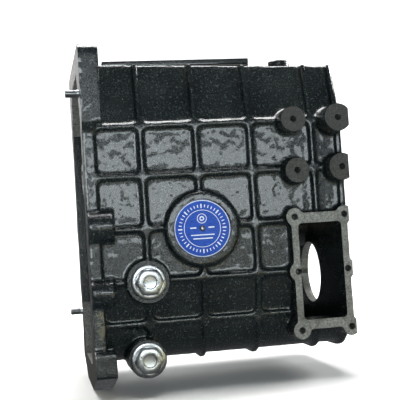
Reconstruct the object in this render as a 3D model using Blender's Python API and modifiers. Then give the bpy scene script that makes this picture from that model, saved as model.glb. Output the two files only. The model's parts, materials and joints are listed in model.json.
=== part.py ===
"""Manual transmission: a ribbed cast-iron truck gearbox with a full gear train inside.

The gearbox is drawn in its own frame, in millimetres: x runs from the front flange face
to the rear, y across (the power take-off side is negative) and z up, with z = 0 at the
foot of the front flange. An empty carries every part to the middle of the bounding box.
"""
import math

import bmesh
import bpy
from mathutils import Matrix, Vector

MM = 0.001
GAP = 0.3                      # running or seating gap between neighbouring pieces
STUD_OUT = 17.5                # how far the flange studs stand out
REAR_END = 358.0               # rear face of the output flange
FRONT_TO_CENTRE = (REAR_END - STUD_OUT) / 2

# Case: the section across the shafts, and where its walls stand
FLANGE_X = 15.0                # thin part of the front flange
EAR_X = 25.0                   # thick top and foot of the front flange
FRONT_WALL = (20.0, 34.0)
REAR_WALL = (323.0, 333.5)
CASE_LENGTH = REAR_WALL[1]
WALL = 8.0
WALL_Y = 120.0                 # flat of the side walls, under the ribs
TOP_Y = 94.0                   # side walls lean in to here at the top
TOP_FRONT_Z = 414.5            # the top falls gently to the rear
TOP_REAR_Z = 405.5
LEAN_Z = 331.0                 # above this the walls lean in
STRAIGHT_Z = 137.0             # below this they turn under
SUMP_Z = 84.0                  # start of the rounded sump
SUMP_Y = 106.0
SUMP_FLAT_Y = 60.0
BOTTOM_Z = 36.0
RIB = 5.0                      # how far ribs stand out
RIB_WIDTH = 6.0
RIB_X = (72.0, 142.0, 212.0, 294.0)
RIB_Z = (331.0, 268.0, 202.0, 137.0)
SUMP_RIB_Z = 84.0

# Front flange
FLANGE_TOP_Z = 436.0
EAR_Y = 133.0
FLANGE_Y = 125.0
EAR_LOW_Z = 328.0
FOOT_HIGH_Z = 57.0
FOOT_LOW_Z = 24.0
FOOT_FLAT_Y = 55.0
LUGS = ((208.0, 20.0, 31.0), (126.0, 17.5, 28.0))      # height, radius, length
LUG_Y = 118.0
MOUTH_Y = 97.0
MOUTH_Z = (33.0, 408.0)
STUDS = {"flange_stud_upper": (-108.0, 376.0), "flange_stud_lower": (108.0, 90.0)}
STUD_R = 5.0

# Shafts, as places in the y-z plane
CENTRE_DISTANCE = 100.0
MAIN = (-20.0, 275.0)
SHAFT_STEP_Y = 62.0
COUNTER = (MAIN[0] + SHAFT_STEP_Y,
           MAIN[1] - math.sqrt(CENTRE_DISTANCE ** 2 - SHAFT_STEP_Y ** 2))
PORT = (8.0, 128.0)
PORT_R = 43.0
BEARING_R = 45.0
SMALL_BEARING_R = 28.0
MAIN_R = 17.0
COUNTER_R = 17.0
RETAINER_R = 58.0
RETAINER_BOLT_R = 51.5
RETAINER_BOLTS = (math.radians(90.0), math.radians(210.0), math.radians(330.0))

# Gears: module 5, all pairs on the same centre distance
MODULE = 5.0
PRESSURE = math.radians(20.0)
ADDENDUM = 3.7
DEDENDUM = 5.2
TOOTH_FILL = 0.90
DRIVE_TEETH = (15, 25)         # input gear, countershaft gear
RATIOS = {"4": (18, 22), "3": (21, 19), "2": (25, 15), "1": (28, 12)}
REVERSE_TEETH = (24, 12)
IDLER_TEETH = 13
IDLER_FROM_COUNTER = MODULE * (IDLER_TEETH + REVERSE_TEETH[1]) / 2
IDLER_FROM_MAIN = MODULE * (IDLER_TEETH + REVERSE_TEETH[0]) / 2
GEAR_X = {"drive": 48.0, "4": 104.0, "3": 124.0, "2": 180.0, "1": 200.0, "reverse": 254.0}
GEAR_WIDTH = 18.0
CLUTCH_WIDTH = 4.0
CLUTCH_R = 33.0
HUB_X = {"45": 85.0, "23": 161.0, "1r": 236.5}
HUB_WIDTH = 16.0
HUB_R = 38.0
SLEEVE_WIDTH = 20.0
SLEEVE_R = 47.0
GROOVE_R = 41.0

# Shifting
RAIL_Z = 370.0
RAIL_R = 7.0
RAIL_Y = {"45": -42.0, "23": -20.0, "1r": 2.0}
RAIL_ENDS = (37.0, 325.0)
GATE_X = 130.0
GATE_WIDTH = 10.8              # in the rail that the finger is coupled to
FREE_GATE_WIDTH = 37.0         # in the others, so that the finger clears them at any setting
SELECTOR_Z = 391.0
SELECTOR_R = 8.0
FINGER_Z = 371.5               # middle of the finger's ball
FINGER_R = 4.0
LEVER_Y = (140.0, 149.0)

# Near side: bosses, plugs, nameplate and power take-off window
BOSSES = ((263.0, 328.6, 16.0, 150.0), (319.6, 327.8, 17.5, 157.0),
          (266.7, 264.3, 16.0, 141.0), (324.8, 266.0, 17.5, 146.0))    # x, z, radius, face
TAPPED_R = 4.3
PLUGS = {"fill_plug": (70.0, 137.0, 26.5), "drain_plug": (64.0, 43.0, 23.5)}
PLUG_FACE_Y = 131.0
PLATE_AT = (142.6, 198.3)
PLATE_R = 36.0
RING_R = 46.5
PTO_FACE_Y = 134.0
PTO_HOLES_X = (261.0, 327.2)
PTO_HOLES_Z = (205.6, 136.1, 61.9)
PTO_WINDOW = (264.5, 322.0, 74.5, 197.0)
PTO_FRAME = (255.5, 331.0, 62.5, 210.5)

# Top cover
COVER_X = (34.0, 231.0)
COVER_Y = 70.0
PAD_Z = 414.8
OPENING_X = (58.0, 207.0)
OPENING_Y = 52.0
COVER_SCREWS = ((46.0, -61.0), (46.0, 61.0), (219.0, -61.0), (219.0, 61.0))


for old in list(bpy.data.objects):
    bpy.data.objects.remove(old, do_unlink=True)

PARTS = bpy.data.collections.new("manual_transmission")
TOOLS = bpy.data.collections.new("cutters")
bpy.context.scene.collection.children.link(PARTS)
bpy.context.scene.collection.children.link(TOOLS)

BODY_FRAME = bpy.data.objects.new("gearbox_frame", None)
BODY_FRAME.location = (-FRONT_TO_CENTRE * MM, 0.0, 0.0)
PARTS.objects.link(BODY_FRAME)

FINISHES = {
    "black_enamel": ((0.012, 0.013, 0.014), 0.0, 0.28),
    "machined_iron": ((0.33, 0.33, 0.34), 1.0, 0.42),
    "gear_steel": ((0.42, 0.42, 0.44), 1.0, 0.30),
    "plated_steel": ((0.72, 0.73, 0.75), 1.0, 0.25),
    "bronze": ((0.62, 0.42, 0.18), 1.0, 0.35),
    "seal_rubber": ((0.03, 0.03, 0.03), 0.0, 0.75),
    "gasket_paper": ((0.20, 0.19, 0.17), 0.0, 0.85),
    "plate_blue": ((0.02, 0.09, 0.42), 0.0, 0.35),
}


def material(name, finish):
    """A Principled material of one finish, for one object."""
    colour, metallic, roughness = FINISHES[finish]
    made = bpy.data.materials.new(name + "_" + finish)
    made.use_nodes = True
    shader = made.node_tree.nodes["Principled BSDF"]
    shader.inputs["Base Color"].default_value = (*colour, 1.0)
    shader.inputs["Metallic"].default_value = metallic
    shader.inputs["Roughness"].default_value = roughness
    return made


def link(obj, home):
    """Put an object in the parts or the cutters collection, in the gearbox frame."""
    home.objects.link(obj)
    obj.parent = BODY_FRAME
    if home is not PARTS:
        obj.hide_render = True
        obj.display_type = "WIRE"
    return obj


def from_bmesh(name, bm, home):
    mesh = bpy.data.meshes.new(name)
    bm.to_mesh(mesh)
    bm.free()
    return link(bpy.data.objects.new(name, mesh), home)


def box(name, x, y, z, home=TOOLS):
    """A box between pairs of x, y and z, in millimetres."""
    bm = bmesh.new()
    bmesh.ops.create_cube(bm, size=1.0)
    size = Vector((x[1] - x[0], y[1] - y[0], z[1] - z[0])) * MM
    middle = Vector((x[0] + x[1], y[0] + y[1], z[0] + z[1])) * (0.5 * MM)
    placed = Matrix.Translation(middle) @ Matrix.Diagonal(size).to_4x4()
    bmesh.ops.transform(bm, matrix=placed, verts=bm.verts)
    return from_bmesh(name, bm, home)


AXIS_TURN = {"X": (0.0, math.pi / 2, 0.0), "-Y": (math.pi / 2, 0.0, 0.0), "Z": (0.0, 0.0, 0.0)}


def rod(name, axis, at, length, radius, sides=16, home=TOOLS, tip_radius=None):
    """A cylinder that starts at a point and runs along X, -Y or Z."""
    bm = bmesh.new()
    tip = radius if tip_radius is None else tip_radius
    bmesh.ops.create_cone(bm, cap_ends=True, segments=sides, radius1=radius * MM, radius2=tip * MM,
                          depth=length * MM)
    bmesh.ops.translate(bm, verts=bm.verts, vec=(0.0, 0.0, length * MM / 2))
    made = from_bmesh(name, bm, home)
    made.rotation_euler = AXIS_TURN[axis]
    made.location = Vector(at) * MM
    return made


def turned(name, axis, at, profile, steps=24, home=TOOLS):
    """Turn a profile of (distance along the axis, radius) points, outer side from far to near.

    A profile whose ends lie on the axis stays open; any other closes into a ring.
    """
    solid = profile[0][1] == 0.0
    mesh = bpy.data.meshes.new(name)
    points = [(radius * MM, 0.0, along * MM) for along, radius in profile]
    edges = [(i, i + 1) for i in range(len(points) - 1)]
    if not solid:
        edges.append((len(points) - 1, 0))
    mesh.from_pydata(points, edges, [])
    made = link(bpy.data.objects.new(name, mesh), home)
    made.rotation_euler = AXIS_TURN[axis]
    made.location = Vector(at) * MM
    screw = made.modifiers.new("turn", "SCREW")
    screw.angle = 2 * math.pi
    screw.steps = steps
    screw.render_steps = steps
    screw.use_merge_vertices = True
    screw.merge_threshold = 0.00001
    return made


def ring_profile(start, end, inner, outer):
    """The profile of a plain ring: its outer side runs from the far end to the near one."""
    return [(end, inner), (end, outer), (start, outer), (start, inner)]


def plate(name, axis, start, thickness, outlines, home=TOOLS, at=(0.0, 0.0)):
    """Extrude flat outlines: (y, z) points along X, or (x, z) points along -Y.

    The first outline is the edge and any others are holes. The outlines are welded into a mesh.
    """
    curve = bpy.data.curves.new(name, "CURVE")
    curve.dimensions = "2D"
    curve.fill_mode = "BOTH"
    curve.extrude = thickness * MM / 2
    for outline in outlines:
        spline = curve.splines.new("POLY")
        spline.points.add(len(outline) - 1)
        for point, (a, b) in zip(spline.points, outline):
            u, v = (-b, a) if axis == "X" else (a, b)
            point.co = (u * MM, v * MM, 0.0, 1.0)
        spline.use_cyclic_u = True
    flat = bpy.data.objects.new(name + "_outline", curve)
    TOOLS.objects.link(flat)
    bpy.context.view_layer.update()
    mesh = bpy.data.meshes.new_from_object(flat.evaluated_get(bpy.context.evaluated_depsgraph_get()))
    bpy.data.objects.remove(flat, do_unlink=True)
    bm = bmesh.new()
    bm.from_mesh(mesh)
    bpy.data.meshes.remove(mesh)
    bmesh.ops.remove_doubles(bm, verts=bm.verts, dist=0.000002)
    bmesh.ops.recalc_face_normals(bm, faces=bm.faces)
    bmesh.ops.translate(bm, verts=bm.verts, vec=(0.0, 0.0, thickness * MM / 2))
    made = from_bmesh(name, bm, home)
    made.rotation_euler = AXIS_TURN[axis]
    if axis == "X":
        made.location = Vector((start, at[0], at[1])) * MM
    else:
        made.location = Vector((at[0], start, at[1])) * MM
    return made


def ball(name, at, radius):
    bm = bmesh.new()
    bmesh.ops.create_uvsphere(bm, u_segments=14, v_segments=8, radius=radius * MM)
    made = from_bmesh(name, bm, TOOLS)
    made.location = Vector(at) * MM
    return made


def circle(radius, sides, at=(0.0, 0.0)):
    return [(at[0] + radius * math.cos(2 * math.pi * k / sides),
             at[1] + radius * math.sin(2 * math.pi * k / sides)) for k in range(sides)]


def combine(target, operation, tools):
    """Join or cut a target with tools, by one live Boolean on a collection of their own."""
    group = bpy.data.collections.new(target.name + "_" + operation.lower())
    TOOLS.children.link(group)
    for tool in tools:
        group.objects.link(tool)
        TOOLS.objects.unlink(tool)
    change = target.modifiers.new(operation.lower(), "BOOLEAN")
    change.operation = operation
    change.operand_type = "COLLECTION"
    change.collection = group
    change.solver = "EXACT"
    return target


def part(name, finish, shape, joined=(), cut=()):
    """Name a shape as a part, join and cut it, and give it its material."""
    shape.name = name
    shape.data.name = name
    if shape.name not in PARTS.objects:
        TOOLS.objects.unlink(shape)
        PARTS.objects.link(shape)
    shape.hide_render = False
    shape.display_type = "TEXTURED"
    if joined:
        combine(shape, "UNION", joined)
    if cut:
        combine(shape, "DIFFERENCE", cut)
    shape.data.materials.append(material(name, finish))
    return shape


# ------------------------------------------------------------------ gears

def polar(radius, angle, at=(0.0, 0.0)):
    return (at[0] + radius * math.cos(angle), at[1] + radius * math.sin(angle))


def heading(start, end):
    """The direction from one shaft to another, in the y-z plane."""
    return math.atan2(end[1] - start[1], end[0] - start[0])


def idler_place():
    """Where the reverse idler meets both the countershaft and the mainshaft gear."""
    cosine = ((IDLER_FROM_COUNTER ** 2 + CENTRE_DISTANCE ** 2 - IDLER_FROM_MAIN ** 2)
              / (2 * IDLER_FROM_COUNTER * CENTRE_DISTANCE))
    return polar(IDLER_FROM_COUNTER, heading(COUNTER, MAIN) - math.acos(cosine), COUNTER)


IDLER = idler_place()


def meshing_phase(phase, teeth, direction, other_teeth):
    """The tooth phase of a gear whose partner, seen along a direction, has a given phase."""
    return direction + math.pi - (phase - direction) * teeth / other_teeth + math.pi / other_teeth


def gear_outline(teeth, phase):
    """Involute teeth, with straight flanks from root to tip."""
    pitch_r = MODULE * teeth / 2
    base_r = pitch_r * math.cos(PRESSURE)
    root_r = pitch_r - DEDENDUM
    tip_r = pitch_r + ADDENDUM
    involute = math.tan(PRESSURE) - PRESSURE

    def half_angle(radius):
        at_r = math.acos(min(1.0, base_r / radius))
        return math.pi * TOOTH_FILL / (2 * teeth) + involute - (math.tan(at_r) - at_r)

    points = []
    for k in range(teeth):
        middle = phase + 2 * math.pi * k / teeth
        root, tip = half_angle(root_r), half_angle(tip_r)
        points += [polar(root_r, middle - root), polar(tip_r, middle - tip),
                   polar(tip_r, middle + tip), polar(root_r, middle + root)]
    return points


def gear_ring(name, x, at, teeth, phase, bore, width=GEAR_WIDTH):
    return plate(name, "X", x, width, [gear_outline(teeth, phase), circle(bore, 16)], at=at)


# ------------------------------------------------------------------ case

def top_z(x):
    """The height of the case's top at a distance from the front."""
    return TOP_FRONT_Z + (TOP_REAR_Z - TOP_FRONT_Z) * (x - FLANGE_X) / (CASE_LENGTH - FLANGE_X)


def mirrored(half):
    """An outline from its +y half, listed top to bottom."""
    return half + [(-y, z) for y, z in reversed(half)]


def section(grow, top_grow):
    """The case's outline across the shafts, grown or shrunk, as (y, z) points."""
    half = [(TOP_Y + top_grow, TOP_FRONT_Z), (WALL_Y + grow, LEAN_Z), (WALL_Y + grow, STRAIGHT_Z)]
    arc_steps = 4
    for k in range(arc_steps + 1):
        turn = math.pi / 2 * k / arc_steps
        half.append((SUMP_FLAT_Y + (SUMP_Y - SUMP_FLAT_Y + grow) * math.cos(turn),
                     SUMP_Z - (SUMP_Z - BOTTOM_Z + grow) * math.sin(turn)))
    return mirrored(half)


def case_slice(name, x, grow, top_grow, top_drop=0.0):
    """A length of the case's section, with its top on the case's falling top line."""
    made = plate(name, "X", x[0], x[1] - x[0], [section(grow, top_grow)])
    for vertex in made.data.vertices:
        world_z = -vertex.co.x / MM
        if world_z > TOP_FRONT_Z - 1.0:
            vertex.co.x = -(top_z(x[0] + vertex.co.z / MM) - top_drop) * MM
    return made


EAR_TOP = [(EAR_Y - 14.0, FLANGE_TOP_Z), (EAR_Y - 4.0, FLANGE_TOP_Z - 4.0), (EAR_Y, FLANGE_TOP_Z - 14.0)]
FOOT = [(EAR_Y, FOOT_LOW_Z), (FOOT_FLAT_Y, 0.0)]


def flange_outline():
    edge = [(EAR_Y, EAR_LOW_Z + 8.5), (FLANGE_Y, EAR_LOW_Z - 2.0), (FLANGE_Y, FOOT_HIGH_Z),
            (EAR_Y, FOOT_HIGH_Z - 4.0)]
    return mirrored(EAR_TOP + edge + FOOT)


def mouth_outline():
    low, high = MOUTH_Z
    return mirrored([(70.0, high), (MOUTH_Y, high - 60.0), (MOUTH_Y, low + 70.0), (62.0, low)])


def main_case():
    body = case_slice("main_case", (FLANGE_X - 5.0, CASE_LENGTH), 0.0, 0.0)
    outer = [plate("flange", "X", 0.0, FLANGE_X, [flange_outline()]),
             plate("ear", "X", 1.0, EAR_X - 1.0, [mirrored(EAR_TOP + [(EAR_Y, EAR_LOW_Z + 8.5)])]),
             plate("foot", "X", 1.0, EAR_X, [mirrored([(EAR_Y, FOOT_HIGH_Z - 4.0)] + FOOT)]),
             box("cover_pad", COVER_X, (-COVER_Y, COVER_Y), (380.0, PAD_Z)),
             rod("top_boss", "Z", (274.0, -62.0, 390.0), 29.5, 15.0),
             rod("selector_boss", "-Y", (GATE_X, 116.0, SELECTOR_Z), 40.0, 15.0),
             case_slice("rear_edge", (CASE_LENGTH - 7.0, CASE_LENGTH), RIB, 10.0, 1.0)]
    for k, x in enumerate(RIB_X):
        outer.append(case_slice(f"rib_x{k}", (x - RIB_WIDTH / 2, x + RIB_WIDTH / 2), RIB, 14.0, 1.0))
    for side in (-1, 1):
        for k, (z, radius, length) in enumerate(LUGS):
            outer.append(rod(f"lug{k}_{side}", "X", (0.05, side * LUG_Y, z), length, radius))
        for k, z in enumerate(RIB_Z):
            y = sorted((side * 100.0, side * (WALL_Y + RIB)))
            outer.append(box(f"rib_z{k}_{side}", (5.0, CASE_LENGTH - 1.0), y,
                             (z - RIB_WIDTH / 2, z + RIB_WIDTH / 2)))
        y = sorted((side * 90.0, side * (SUMP_Y + RIB)))
        outer.append(box(f"rib_z4_{side}", (5.0, CASE_LENGTH - 1.0), y,
                         (SUMP_RIB_Z - RIB_WIDTH / 2, SUMP_RIB_Z + RIB_WIDTH / 2)))
    for k, (x, z, radius, face) in enumerate(BOSSES):
        outer.append(rod(f"boss{k}", "-Y", (x, -100.0, z), face - 100.0, radius))
    for name, (x, z, radius) in PLUGS.items():
        outer.append(rod(name + "_boss", "-Y", (x, -70.0, z), PLUG_FACE_Y - 70.0, radius, 24))
    outer.append(rod("plate_ring", "-Y", (PLATE_AT[0], -100.0, PLATE_AT[1]), 29.0, RING_R, 32))
    outer.append(box("pto_frame", PTO_FRAME[:2], (-PTO_FACE_Y, -96.0), PTO_FRAME[2:]))
    for k, x in enumerate(PTO_HOLES_X):
        for j, z in enumerate(PTO_HOLES_Z):
            outer.append(rod(f"pto_lug{k}{j}", "-Y", (x, -96.0, z), PTO_FACE_Y - 96.0, 11.5, 12))

    hollow = [case_slice("cavity", (FRONT_WALL[1], REAR_WALL[0]), -WALL, -WALL, 20.0),
              plate("mouth", "X", -1.0, FRONT_WALL[0] + 1.0, [mouth_outline()])]

    inner = [rod("main_boss_front", "X", (30.0, *MAIN), 10.0, 53.0, 24),
             rod("counter_boss_front", "X", (30.0, *COUNTER), 10.0, 34.0, 24),
             rod("main_boss_rear", "X", (313.0, *MAIN), 15.0, 53.0, 24),
             rod("counter_boss_rear", "X", (313.0, *COUNTER), 15.0, 33.0, 24),
             rod("idler_boss", "X", (276.0, *IDLER), 50.0, 15.0),
             box("rails_front", (30.0, 50.0), (-56.0, 16.0), (358.0, 382.0)),
             box("rails_rear", (309.0, 328.0), (-56.0, 16.0), (358.0, 382.0))]

    bores = [rod("main_bore_front", "X", (19.0, *MAIN), 22.0, BEARING_R, 24),
             rod("main_bore_rear", "X", (312.0, *MAIN), 23.0, BEARING_R, 24),
             rod("counter_bore_front", "X", (24.0, *COUNTER), 17.0, SMALL_BEARING_R, 24),
             rod("counter_bore_rear", "X", (312.0, *COUNTER), 23.0, SMALL_BEARING_R, 24),
             rod("port", "X", (318.0, *PORT), 18.0, PORT_R, 32),
             rod("idler_bore", "X", (275.0, *IDLER), 60.0, 9.0 + GAP, 16),
             rod("selector_bore", "-Y", (GATE_X, 118.0, SELECTOR_Z), 195.0, SELECTOR_R + GAP, 16),
             box("cover_opening", OPENING_X, (-OPENING_Y, OPENING_Y), (380.0, PAD_Z + 1.0)),
             box("pto_window", PTO_WINDOW[:2], (-PTO_FACE_Y - 1.0, -80.0), PTO_WINDOW[2:]),
             rod("plate_recess", "-Y", (PLATE_AT[0], -124.5, PLATE_AT[1]), 6.0, PLATE_R + 1.3, 32),
             rod("rivet_hole", "-Y", (PLATE_AT[0], -116.0, PLATE_AT[1]), 10.0, 2.1, 10)]
    for name, y in RAIL_Y.items():
        bores.append(rod("rail_bore_" + name, "X", (28.0, y, RAIL_Z), 312.0, RAIL_R + GAP, 14))
    for x, z, radius, face in BOSSES:
        bores.append(rod("boss_hole", "-Y", (x, 22.0 - face, z), 23.0, TAPPED_R, 8))
    for name, (x, z, radius) in PLUGS.items():
        bores.append(rod(name + "_hole", "-Y", (x, -58.0, z), 74.0, 13.0 + GAP, 16))
    for x in PTO_HOLES_X:
        for z in PTO_HOLES_Z:
            bores.append(rod("pto_hole", "-Y", (x, 14.0 - PTO_FACE_Y, z), 15.0, TAPPED_R, 8))
    for x, y in COVER_SCREWS:
        bores.append(rod("cover_hole", "Z", (x, y, PAD_Z - 12.0), 13.0, 3.0 + GAP, 8))
    for y, z in STUDS.values():
        bores.append(rod("stud_hole", "X", (-1.0, y, z), 13.0, STUD_R + GAP, 10))
    for side in (-1, 1):
        for z, radius, length in LUGS:
            bores.append(rod("lug_hole", "X", (-1.0, side * LUG_Y, z), length + 2.0, 5.6, 10))
    for angle in RETAINER_BOLTS:
        y, z = polar(RETAINER_BOLT_R, angle, MAIN)
        bores.append(rod("front_bolt_hole", "X", (19.0, y, z), 15.5, 3.0 + GAP, 8))
        bores.append(rod("rear_bolt_hole", "X", (322.0, y, z), 12.0, 3.0 + GAP, 8))

    part("main_case", "black_enamel", body, joined=outer)
    combine(body, "DIFFERENCE", hollow)
    combine(body, "UNION", inner)
    combine(body, "DIFFERENCE", bores)
    return body


# ------------------------------------------------------------------ covers, retainers and trim

def hexagon(across_flats):
    return circle(across_flats / math.sqrt(3.0), 6)


def hex_bolt(name, x, at, toward_rear):
    """An M6 hex bolt along X, its head on a retainer."""
    y, z = at
    sign = 1.0 if toward_rear else -1.0
    head_start = x if toward_rear else x - 4.5
    head = plate(name, "X", head_start, 4.5, [hexagon(10.0)], at=(y, z))
    shank_start = x - 16.0 if toward_rear else x - 1.0
    shank = rod(name + "_shank", "X", (shank_start, y, z), 17.0, 3.0, 8)
    return part(name, "plated_steel", head, joined=[shank])


def covers():
    holes = [rod("screw_hole", "Z", (x, y, PAD_Z), 12.0, 3.0 + GAP, 8) for x, y in COVER_SCREWS]
    gasket = box("gasket", COVER_X, (-COVER_Y, COVER_Y), (PAD_Z + 0.3, PAD_Z + 1.1))
    opening = box("gasket_opening", OPENING_X, (-OPENING_Y, OPENING_Y), (PAD_Z, PAD_Z + 2.0))
    part("top_cover_gasket", "gasket_paper", gasket, cut=holes + [opening])

    low, high = PAD_Z + 1.4, PAD_Z + 9.4
    cover = box("cover", COVER_X, (-COVER_Y, COVER_Y), (low, high))
    stiffener = box("cover_rib", (70.0, 160.0), (-22.0, 22.0), (high - 1.0, high + 3.0))
    cuts = [rod("cover_screw_hole", "Z", (x, y, low - 1.0), 12.0, 3.0 + GAP, 8) for x, y in COVER_SCREWS]
    cuts += [rod("countersink", "Z", (x, y, high - 4.0), 4.5, 3.0 + GAP, 12, tip_radius=7.8)
             for x, y in COVER_SCREWS]
    cuts.append(rod("breather_hole", "Z", (190.0, 50.0, low - 1.0), 12.0, 5.0 + GAP, 12))
    part("top_cover", "black_enamel", cover, joined=[stiffener], cut=cuts)

    for k, (x, y) in enumerate(COVER_SCREWS):
        profile = [(high - 0.2, 0.0), (high - 0.2, 6.8), (high - 4.0, 3.0), (high - 17.0, 3.0),
                   (high - 17.0, 0.0)]
        part(f"cover_screw_{k + 1}", "plated_steel", turned("screw", "Z", (x, y, 0.0), profile, 8))

    breather = turned("breather", "Z", (190.0, 50.0, high), [
        (13.0, 0.0), (13.0, 5.0), (11.0, 8.0), (8.0, 8.0), (8.0, 5.5), (0.3, 5.5), (0.3, 4.9), (-6.0, 4.9),
        (-6.0, 0.0)], 16)
    part("breather", "plated_steel", breather)


def retainers():
    front = turned("front_retainer", "X", (0.0, *MAIN), [
        (19.7, 22.0), (19.7, RETAINER_R), (13.5, RETAINER_R), (11.5, 34.0), (5.0, 29.0), (5.0, 22.0)])
    rear = turned("rear_retainer", "X", (0.0, *MAIN), [
        (342.0, 30.3), (342.0, 40.0), (340.0, RETAINER_R), (333.8, RETAINER_R), (333.8, 24.0),
        (336.0, 24.0), (336.0, 30.3)])
    front_holes, rear_holes = [], []
    for k, angle in enumerate(RETAINER_BOLTS):
        at = polar(RETAINER_BOLT_R, angle, MAIN)
        front_holes.append(rod("hole", "X", (4.0, *at), 17.0, 3.0 + GAP, 8))
        rear_holes.append(rod("hole", "X", (333.0, *at), 10.0, 3.0 + GAP, 8))
        front_holes.append(rod("spot", "X", (0.0, *at), 14.2, 6.6, 12))
        rear_holes.append(rod("spot", "X", (339.3, *at), 6.0, 6.6, 12))
        hex_bolt(f"front_retainer_bolt_{k + 1}", 13.9, at, False)
        hex_bolt(f"rear_retainer_bolt_{k + 1}", 339.6, at, True)
    part("front_bearing_retainer", "machined_iron", front, cut=front_holes)
    part("rear_bearing_retainer", "machined_iron", rear, cut=rear_holes)
    seal = turned("seal", "X", (0.0, *MAIN), ring_profile(336.4, 341.6, 22.4, 29.9), 24)
    part("output_seal", "seal_rubber", seal)
    cap = turned("cap", "X", (0.0, *COUNTER), [
        (332.8, 0.0), (332.8, 22.0), (333.2, 27.7), (329.0, 27.7), (329.0, 24.0), (331.0, 22.0),
        (331.0, 0.0)], 20)
    part("countershaft_rear_cap", "plated_steel", cap)


def near_side():
    for name, (x, z, radius) in PLUGS.items():
        body = turned(name, "-Y", (x, 0.0, z), [
            (136.5, 0.0), (136.5, 20.0), (135.5, 21.5), (PLUG_FACE_Y + GAP, 21.5),
            (PLUG_FACE_Y + GAP, 13.0), (109.0, 13.0), (109.0, 0.0)], 16)
        head = plate("hex_head", "-Y", -135.5, 13.5, [hexagon(30.0)], at=(x, z))
        part(name, "plated_steel", body, joined=[head])
    disc = turned("disc", "-Y", (PLATE_AT[0], 0.0, PLATE_AT[1]),
                  ring_profile(124.8, 126.0, 2.4, PLATE_R), 32)
    part("nameplate", "plate_blue", disc)
    rivet = turned("rivet", "-Y", (PLATE_AT[0], 0.0, PLATE_AT[1]), [
        (127.8, 0.0), (127.4, 2.4), (126.3, 3.6), (126.3, 1.8), (118.0, 1.8), (118.0, 0.0)], 8)
    part("nameplate_rivet", "plated_steel", rivet)
    for name, (y, z) in STUDS.items():
        stud = turned(name, "X", (0.0, y, z), [
            (11.0, 0.0), (11.0, STUD_R), (1.0 - STUD_OUT, STUD_R), (-STUD_OUT, STUD_R - 1.0),
            (-STUD_OUT, 0.0)], 12)
        part(name, "plated_steel", stud)


# ------------------------------------------------------------------ shafts and gears

def bearing(name, x, at, inner, outer, steps=20):
    """A ball bearing with its races and the sunk face between them, drawn as one ring."""
    start, end = x
    lip, sunk = (outer - inner) * 0.3, 1.6
    shape = turned(name, "X", (0.0, *at), [
        (end, inner), (end, inner + lip), (end - sunk, inner + lip), (end - sunk, outer - lip),
        (end, outer - lip), (end, outer), (start, outer), (start, inner)], steps)
    return part(name, "machined_iron", shape)


def bearings():
    bearing("input_bearing", (20.5, 39.5), MAIN, 20.0 + GAP, BEARING_R - 0.5)
    bearing("mainshaft_bearing", (313.5, 333.2), MAIN, 20.0 + GAP, BEARING_R - 0.5)
    bearing("countershaft_front_bearing", (24.5, 39.5), COUNTER, 14.0 + GAP, SMALL_BEARING_R - GAP)
    bearing("countershaft_rear_bearing", (313.5, 328.5), COUNTER, 14.0 + GAP, SMALL_BEARING_R - GAP)


def counter_phase(key):
    """Tooth phase of each countershaft gear: a tooth on the line to the shaft it drives."""
    return heading(COUNTER, IDLER if key == "reverse" else MAIN)


def free_gear(name, key, teeth, counter_teeth, clutch_side):
    """A gear that runs free on the mainshaft, with its clutch cone on one side."""
    direction = heading(COUNTER, MAIN)
    phase = meshing_phase(counter_phase(key), counter_teeth, direction, teeth)
    x = GEAR_X[key]
    shape = gear_ring(name, x, MAIN, teeth, phase, MAIN_R + 0.5)
    cone_x = (x - CLUTCH_WIDTH, x + 1.0)
    if clutch_side > 0:
        cone_x = (x + GEAR_WIDTH - 1.0, x + GEAR_WIDTH + CLUTCH_WIDTH)
    cone = turned(name + "_cone", "X", (0.0, *MAIN), ring_profile(*cone_x, MAIN_R + 0.5, CLUTCH_R), 16)
    return part(name, "gear_steel", shape, joined=[cone])


def mainshaft_group():
    free_gear("gear_4", "4", *RATIOS["4"], -1)
    free_gear("gear_3", "3", *RATIOS["3"], 1)
    free_gear("gear_2", "2", *RATIOS["2"], -1)
    free_gear("gear_1", "1", *RATIOS["1"], 1)

    direction = heading(IDLER, MAIN)
    phase = meshing_phase(idler_phase(), IDLER_TEETH, direction, REVERSE_TEETH[0])
    x = GEAR_X["reverse"]
    shape = gear_ring("reverse", x, MAIN, REVERSE_TEETH[0], phase, MAIN_R + 0.5)
    cone = turned("reverse_cone", "X", (0.0, *MAIN),
                  ring_profile(x - CLUTCH_WIDTH, x + 1.0, MAIN_R + 0.5, CLUTCH_R), 16)
    part("gear_reverse", "gear_steel", shape, joined=[cone])

    shaft = turned("shaft", "X", (0.0, *MAIN), [
        (REAR_END - 0.6, 0.0), (REAR_END - 0.6, 11.0), (335.0, 12.7), (335.0, 19.5), (333.0, 20.0),
        (312.5, 20.0), (312.5, 23.0), (276.0, 23.0), (276.0, MAIN_R), (72.0, MAIN_R), (72.0, 12.0),
        (54.0, 12.0), (54.0, 0.0)], 20)
    part("mainshaft", "gear_steel", shaft)

    teeth, counter_teeth = DRIVE_TEETH
    phase = meshing_phase(counter_phase("drive"), counter_teeth, heading(COUNTER, MAIN), teeth)
    x = GEAR_X["drive"]
    blank = turned("input", "X", (0.0, *MAIN), [
        (70.0, 13.0), (70.0, CLUTCH_R - 1.0), (65.0, CLUTCH_R - 1.0), (65.0, 24.0), (x - 1.0, 24.0),
        (x - 6.0, 24.0), (x - 6.0, 20.0), (4.0, 20.0), (4.0, 13.0), (52.0, 13.0)], 20)
    toothed = gear_ring("input_teeth", x, MAIN, teeth, phase, 22.0)
    part("input_shaft", "gear_steel", blank, joined=[toothed])


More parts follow.
